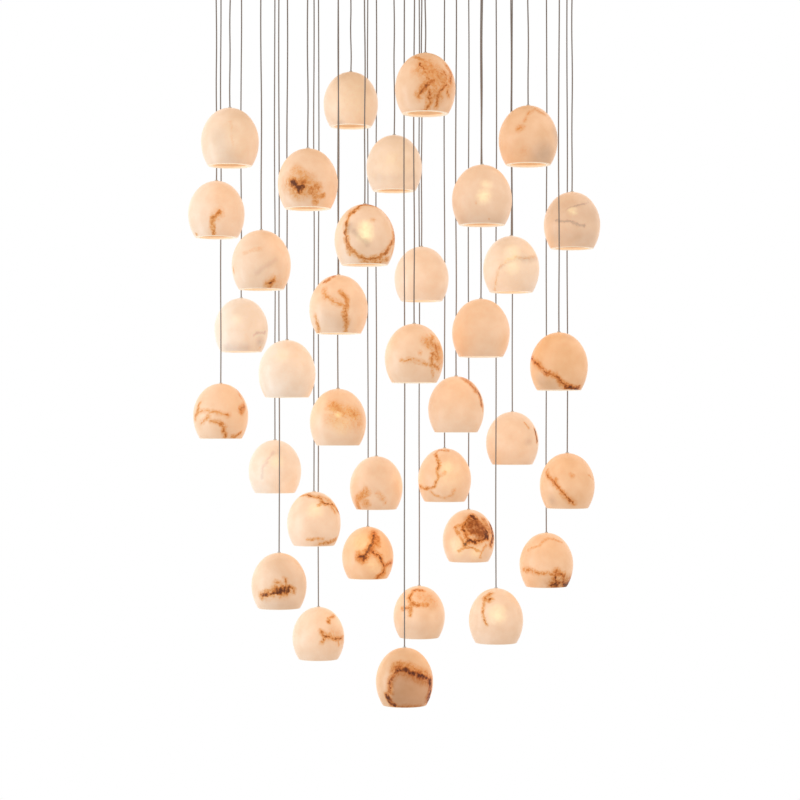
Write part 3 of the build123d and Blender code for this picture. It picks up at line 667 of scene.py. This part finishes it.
def metal_material(name, bright, dull, roughness, fineness):
    """A worked metal: a slow change of tone, and streaks as fine along each axis as the factors say."""
    recipe = Recipe(name)
    place = recipe.millimetres()
    lines = recipe.noise(recipe.vector("MULTIPLY", place, fineness), size=1.6, detail=4.0, roughness=0.6)
    tone = recipe.noise(place, size=60.0, detail=3.0)
    share = recipe.math("ADD", recipe.vary(lines, 0.0, 0.45), recipe.vary(tone, 0.0, 0.55))
    recipe.set(Base_Color=recipe.mix(share, bright, dull), Metallic=1.0)
    recipe.set(Roughness=recipe.vary(lines, roughness - 0.06, roughness + 0.08))
    recipe.bump(lines, strength=0.06, distance=0.0003)
    return recipe.material


def plastic_material(name, colour, shade, roughness, texture_size):
    """A moulded surface: a faint change of tone and a fine texture, its size in millimetres."""
    recipe = Recipe(name)
    place = recipe.millimetres()
    tone = recipe.noise(place, size=25.0, detail=3.0)
    skin = recipe.noise(place, texture_size)
    recipe.set(Base_Color=recipe.mix(recipe.vary(tone, 0.0, 1.0), colour, shade))
    recipe.set(Roughness=recipe.vary(skin, roughness - 0.05, roughness + 0.07))
    recipe.bump(skin, strength=0.12, distance=0.0002)
    return recipe.material


def lamp_material():
    """The frosted cover of a lamp, lit from within and a little dimmer at its base."""
    recipe = Recipe("lamp_glow")
    place = recipe.millimetres()
    height = recipe.axes(place)[2]
    frost = recipe.noise(place, size=2.0, detail=3.0)
    base_level, tip_level = holder_bottom * 1000, (holder_bottom - lamp_length) * 1000
    lit_length = 20.0
    share = recipe.spread(height, base_level, tip_level + lit_length, 0.55, 1.0)
    recipe.set(Base_Color=recipe.mix(frost, (0.92, 0.90, 0.84), (0.86, 0.83, 0.76)), Roughness=0.45)
    recipe.set(Emission_Color=recipe.scaled((1.0, 0.82, 0.55), share), Emission_Strength=1.4)
    recipe.bump(frost, strength=0.1, distance=0.0002)
    return recipe.material


def arc_points(middle_radius, middle_level, radius, start, end, steps):
    """Points of an arc in the section of a turned piece, as (radius, level)."""
    points = []
    for step in range(steps + 1):
        angle = start + (end - start) * step / steps
        out, up = radius * math.cos(angle), radius * math.sin(angle)
        points.append(Vector((middle_radius + out, middle_level + up)))
    return points


def shade_side(inset, seat_radius):
    """The shade's outer face, or one set in from it, from a crown seat down to the mouth."""
    seat_angle = math.acos(seat_radius / (crown_radius - inset))
    mouth_angle = math.asin(shade_lower_depth / (lower_radius - inset))
    side_middle, lower_middle = shade_radius - side_radius, shade_radius - lower_radius
    crown = arc_points(0.0, crown_centre, crown_radius - inset, seat_angle, join_angle, steps=14)
    side = arc_points(side_middle, widest_level, side_radius - inset, join_angle, 0.0, steps=22)
    lower = arc_points(lower_middle, widest_level, lower_radius - inset, 0.0, -mouth_angle, steps=22)
    return crown + side[1:] + lower[1:]


def rounded_corner(before, corner, after, trim):
    """Points that round a corner of a section, starting and ending a trim away from it."""
    first = corner + (before - corner).normalized() * trim
    last = corner + (after - corner).normalized() * trim
    steps = 5
    points = []
    for step in range(steps + 1):
        share = step / steps
        points.append(first * (1 - share) ** 2 + corner * 2 * share * (1 - share) + last * share**2)
    return points


def band(points, number=0):
    """Points of a section with the material number of the bands that follow them."""
    return [(radius, level, number) for radius, level in points]


def shade_section():
    """The closed section of a shade: stone outside, the rim at the mouth, and the lit face inside."""
    stone_number, inside_number, rim_number = 0, 1, 2
    outer = shade_side(0.0, collar_seat_radius)
    inner = shade_side(shade_wall, crown_seat_radius)
    outer_corner, inner_corner = outer[-1], inner[-1]
    outer_edge = rounded_corner(outer[-2], outer_corner, inner_corner, outer_edge_trim)
    inner_edge = rounded_corner(outer_corner, inner_corner, inner[-3], inner_edge_trim)
    outer = [point for point in outer if (point - outer_corner).length > outer_edge_trim]
    inner = [point for point in inner if (point - inner_corner).length > inner_edge_trim]
    section = band([(crown_hole_radius, 0.0), *outer], stone_number)
    section += band(outer_edge + inner_edge, rim_number)
    section += band([*reversed(inner), (crown_hole_radius, crown_seat)], inside_number)
    return section


def turned_mesh(name, section, materials, segments, closed=True):
    """A mesh turned about the Z axis from a section of (radius, level, material number)."""
    sharp_angle = math.radians(40)
    vertices, faces, numbers = [], [], []
    rings = []
    for radius, level, number in section:
        start = len(vertices)
        count = segments if radius > 0 else 1
        for place in range(count):
            angle = 2 * math.pi * place / segments
            vertices.append((radius * math.cos(angle), radius * math.sin(angle), level))
        rings.append([start + place % count for place in range(segments)])
    pairs = list(zip(range(len(rings)), range(1, len(rings))))
    if closed:
        pairs.append((len(rings) - 1, 0))
    for first, second in pairs:
        for place in range(segments):
            after = (place + 1) % segments
            corners = [rings[first][place], rings[second][place], rings[second][after], rings[first][after]]
            face = list(dict.fromkeys(corners))
            if len(face) > 2:
                faces.append(face)
                numbers.append(section[first][2])
    mesh = bpy.data.meshes.new(name)
    mesh.from_pydata(vertices, [], faces)
    for material in materials:
        mesh.materials.append(material)
    mesh.polygons.foreach_set("material_index", numbers)
    mesh.polygons.foreach_set("use_smooth", [True] * len(faces))
    mesh.set_sharp_from_angle(angle=sharp_angle)
    mesh.update()
    return mesh


def ferrule_mesh(materials):
    """The collar on the crown, bored for the cord, with a groove round its side."""
    groove = 0.0002
    top = collar_height - collar_edge
    side = [(0.0, top), (0.0, 0.0011), (groove, 0.0009), (groove, 0.0007), (0.0, 0.0005), (0.0, 0.0)]
    points = [(cord_bore_radius, collar_height), (collar_radius - collar_edge, collar_height)]
    points += [(collar_radius - inset, level) for inset, level in side]
    points.append((cord_bore_radius, 0.0))
    return turned_mesh("ferrule", band(points), materials, segments=32)


def washer_mesh(materials):
    """The soft cushion under the crown and the disc that spreads the load, as one stack."""
    soft = cushion_thickness / 2
    edge = arc_points(cushion_radius - soft, crown_seat - soft, soft, math.pi / 2, -math.pi / 2, steps=4)
    section = band([(crown_hole_radius, crown_seat), *edge])
    disc = [(disc_radius, disc_top), (disc_radius, nut_top), (crown_hole_radius, nut_top)]
    section += band(disc, number=1)
    return turned_mesh("washers", section, materials, segments=36)


def nut_mesh(materials):
    """The hexagon nut that clamps the cord under the disc."""
    sides = 6
    to_corner = 1 / math.cos(math.pi / sides)
    bore, corner = cord_bore_radius * to_corner, nut_width / 2 * to_corner
    points = [
        (bore, nut_top), (corner - nut_edge, nut_top), (corner, nut_top - nut_edge),
        (corner, holder_top + nut_edge), (corner - nut_edge, holder_top), (bore, holder_top),
    ]
    return turned_mesh("nut", band(points), materials, segments=sides)


def holder_mesh(materials):
    """The lampholder: a ribbed body with a bevelled top and a socket for the lamp."""
    ribs, rib_pitch, rib_depth = 5, 0.0024, 0.0004
    rib_start = holder_top - 0.005
    rib_steps = [(0.0, 0.0), (rib_depth, 0.0004), (rib_depth, 0.0009), (0.0, 0.0013)]
    points = [
        (0.0, holder_top), (holder_radius - holder_edge, holder_top),
        (holder_radius, holder_top - holder_edge)]
    for rib in range(ribs):
        level = rib_start - rib * rib_pitch
        points += [(holder_radius - inset, level - drop) for inset, drop in rib_steps]
    socket_top = holder_bottom + socket_depth
    points += [
        (holder_radius, holder_bottom + holder_lower_edge),
        (holder_radius - holder_lower_edge, holder_bottom),
        (socket_radius, holder_bottom), (socket_radius, socket_top), (0.0, socket_top)]
    return turned_mesh("lampholder", band(points), materials, segments=40, closed=False)


def lamp_mesh(materials):
    """The lamp: a neck in the socket and a round-ended frosted cover."""
    neck_radius = socket_radius - lamp_clearance
    end_level = holder_bottom - lamp_length + lamp_radius
    end = arc_points(0.0, end_level, lamp_radius, 0.0, -math.pi / 2, steps=10)
    section = band([(0.0, holder_bottom + socket_depth), (neck_radius, holder_bottom + socket_depth)])
    section += band([
        (neck_radius, holder_bottom), (lamp_radius - lamp_shoulder, holder_bottom),
        (lamp_radius, holder_bottom - lamp_shoulder), *end[:-1], (0.0, end_level - lamp_radius)], number=1)
    return turned_mesh("lamp", section, materials, segments=32, closed=False)


def add_piece(name, data, place, body):
    """Put a piece at a place and let it move with a body."""
    piece = bpy.data.objects.new(name, data)
    piece.location = place
    bpy.context.scene.collection.objects.link(piece)
    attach(piece, body)
    return piece


def cord_points(number, length):
    """The line of a hanging cord, down from its grip: straight at both ends, with a slow wander between."""
    points = [(0.0, 0.0, 0.0), (0.0, 0.0, -cord_straight)]
    for share, side, back in cord_lines[number % len(cord_lines)]:
        points.append((side * 0.001, back * 0.001, -share * length))
    points += [(0.0, 0.0, cord_straight - length), (0.0, 0.0, -length)]
    return points


def cord_curve(name, points, material):
    """A round cord along one smooth line."""
    curve = bpy.data.curves.new(name, "CURVE")
    curve.dimensions = "3D"
    curve.bevel_depth = cord_radius
    curve.bevel_resolution = 3
    curve.resolution_u = 6
    curve.use_fill_caps = True
    spline = curve.splines.new("NURBS")
    spline.points.add(len(points) - 1)
    for spot, point in zip(spline.points, points):
        spot.co = (*point, 1.0)
    spline.order_u = 3
    spline.use_endpoint_u = True
    curve.materials.append(material)
    return curve


# Finishes of the model's own nodes, by material slot. Metals: a bright and a dull tone, a roughness, and how
# fine their streaks are along each axis. Moulded finishes: two tones, a roughness and the texture's size.
metals = {
    "canopy_finish": ((0.36, 0.27, 0.19), (0.25, 0.18, 0.12), 0.38, (1.0, 0.08, 1.0)),
    "steel": ((0.62, 0.63, 0.64), (0.48, 0.49, 0.50), 0.34, (1.0, 1.0, 0.2)),
    "brass": ((0.72, 0.53, 0.26), (0.55, 0.38, 0.17), 0.30, (0.3, 0.3, 2.0)),
}
moulded = {
    "white_plastic": ((0.84, 0.82, 0.77), (0.76, 0.73, 0.67), 0.42, 1.2),
    "rubber": ((0.055, 0.053, 0.05), (0.035, 0.034, 0.033), 0.75, 0.8),
    "board": ((0.03, 0.19, 0.08), (0.02, 0.13, 0.05), 0.45, 2.5),
    "driver_case": ((0.72, 0.72, 0.70), (0.62, 0.62, 0.60), 0.5, 0.9),
}
finishes = {"cord": cord_material()}
for name, look in metals.items():
    finishes[name] = metal_material(name, *look)
for name, look in moulded.items():
    finishes[name] = plastic_material(name, *look)
for subpart in frame["record"]["subparts"]:
    if subpart["material_slot"] in finishes:
        for material_slot in frame["nodes"][subpart["node"]].material_slots:
            material_slot.material = finishes[subpart["material_slot"]]

# Pendants, each with its own stone and cord, and with the same fittings
ceramic = finishes["white_plastic"]
steel = finishes["steel"]
inside = inside_material()
rim = rim_material()
fittings = [
    ("ferrule", ferrule_mesh([ceramic]), "white_plastic"),
    ("washers", washer_mesh([finishes["rubber"], steel]), "steel"),
    ("nut", nut_mesh([steel]), "steel"),
    ("lampholder", holder_mesh([ceramic]), "white_plastic"),
    ("lamp", lamp_mesh([steel, lamp_material()]), "white_plastic"),
]
section = shade_section()
pivots = {joint["child"]: Vector(joint["pos_m"]) for joint in frame["joints"]}

for number, (depth, marks) in enumerate(stones, start=1):
    name = f"pendant_{number:02d}"
    pivot = pivots[name]
    crown = Vector((pivot.x, pivot.y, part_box(name)[0].z - mouth_level))
    stone = stone_material(number, crown, depth, marks)
    shade_shape = turned_mesh(f"{name}_shade", section, [stone, inside, rim], segments=96)
    shade = add_piece(f"{name}_shade", shade_shape, crown, name)
    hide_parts(name)
    for fitting, shape, slot in fittings:
        add_piece(f"{name}_{fitting}", shape, crown, name)
    length = pivot.z - crown.z - cord_end
    curve = cord_curve(f"{name}_cord", cord_points(number, length), finishes["cord"])
    cord = add_piece(f"{name}_cord", curve, pivot, name)


def show_white(tree, plain, white):
    """White to the camera and in reflections, and a plain shader for all other rays."""
    path = tree.nodes.new("ShaderNodeLightPath")
    seen = path.outputs["Is Camera Ray"]
    for ray in ("Is Glossy Ray", "Is Transmission Ray"):
        either = tree.nodes.new("ShaderNodeMath")
        either.operation = "MAXIMUM"
        tree.links.new(seen, either.inputs[0])
        tree.links.new(path.outputs[ray], either.inputs[1])
        seen = either.outputs[0]
    mix = tree.nodes.new("ShaderNodeMixShader")
    tree.links.new(seen, mix.inputs[0])
    tree.links.new(plain, mix.inputs[1])
    tree.links.new(white, mix.inputs[2])
    return mix.outputs[0]


# A white studio: soft light from all round, and white where the camera or a reflection sees past the object
ambient_level = 0.52
ambient_colour = (1.0, 0.97, 0.94, 1.0)
world = bpy.data.worlds.new("studio")
bpy.context.scene.world = world
world.use_nodes = True
world.node_tree.nodes.clear()
ambient = world.node_tree.nodes.new("ShaderNodeBackground")
ambient.inputs["Color"].default_value = ambient_colour
ambient.inputs["Strength"].default_value = ambient_level
backdrop = world.node_tree.nodes.new("ShaderNodeBackground")
backdrop.inputs["Color"].default_value = (1.0, 1.0, 1.0, 1.0)
world_output = world.node_tree.nodes.new("ShaderNodeOutputWorld")
world_shader = show_white(world.node_tree, ambient.outputs[0], backdrop.outputs[0])
world.node_tree.links.new(world_shader, world_output.inputs["Surface"])


def floor_material(fade_start, fade_end):
    """A pale floor that keeps a shadow under the object and turns white towards its edge."""
    recipe = Recipe("pale_floor")
    recipe.tree.nodes.remove(recipe.shader)
    output = recipe.tree.nodes["Material Output"]
    place = recipe.node("TexCoord", {}, "Object")
    share = recipe.ease(recipe.vector("LENGTH", place), fade_start, fade_end, 0.45, 1.0)
    pale = recipe.node("BsdfDiffuse", {"Color": (0.86, 0.86, 0.85)})
    white = recipe.node("Emission", {"Color": (1.0, 1.0, 1.0)})
    shown = recipe.node("MixShader", {0: share, 1: pale, 2: white})
    recipe.feed(output.inputs["Surface"], show_white(recipe.tree, pale, shown))
    return recipe.material


floor_level = -2.75
floor_section = band([(0.0, 0.0), (0.8, 0.0), (1.6, 0.0), (3.8, 0.0)])
floor_finish = floor_material(fade_start=1.2, fade_end=3.4)
floor_shape = turned_mesh("floor", floor_section, [floor_finish], segments=96, closed=False)
floor = bpy.data.objects.new("floor", floor_shape)
floor.location = (0.0, 0.0, floor_level)
bpy.context.scene.collection.objects.link(floor)


def add_softbox(name, place, size, power, colour):
    """A rectangular studio lamp aimed at the middle of the globes."""
    aim = Vector((0.0, 0.0, -1.1))
    light = bpy.data.lights.new(name, "AREA")
    light.shape = "RECTANGLE"
    light.size, light.size_y = size
    light.energy = power
    light.color = colour
    lamp = bpy.data.objects.new(name, light)
    lamp.location = place
    lamp.rotation_euler = (aim - Vector(place)).to_track_quat("-Z", "Y").to_euler()
    bpy.context.scene.collection.objects.link(lamp)


add_softbox("key_softbox", (-3.0, -0.7, -1.35), size=(1.0, 2.4), power=33.0, colour=(0.64, 0.87, 1.0))
add_softbox("fill_softbox", (2.6, -3.0, -0.6), size=(1.6, 1.6), power=4.0, colour=(1.0, 0.90, 0.78))

# The photograph's viewing angle
camera = bpy.data.cameras.new("camera")
camera.sensor_width = camera_sensor
camera.lens = camera_lens
camera.shift_y = camera_shift
viewer = bpy.data.objects.new("camera", camera)
viewer.location = camera_place
viewer.rotation_euler = (math.pi / 2, 0.0, 0.0)
bpy.context.scene.collection.objects.link(viewer)
bpy.context.scene.camera = viewer
bpy.context.scene.view_settings.view_transform = "Standard"
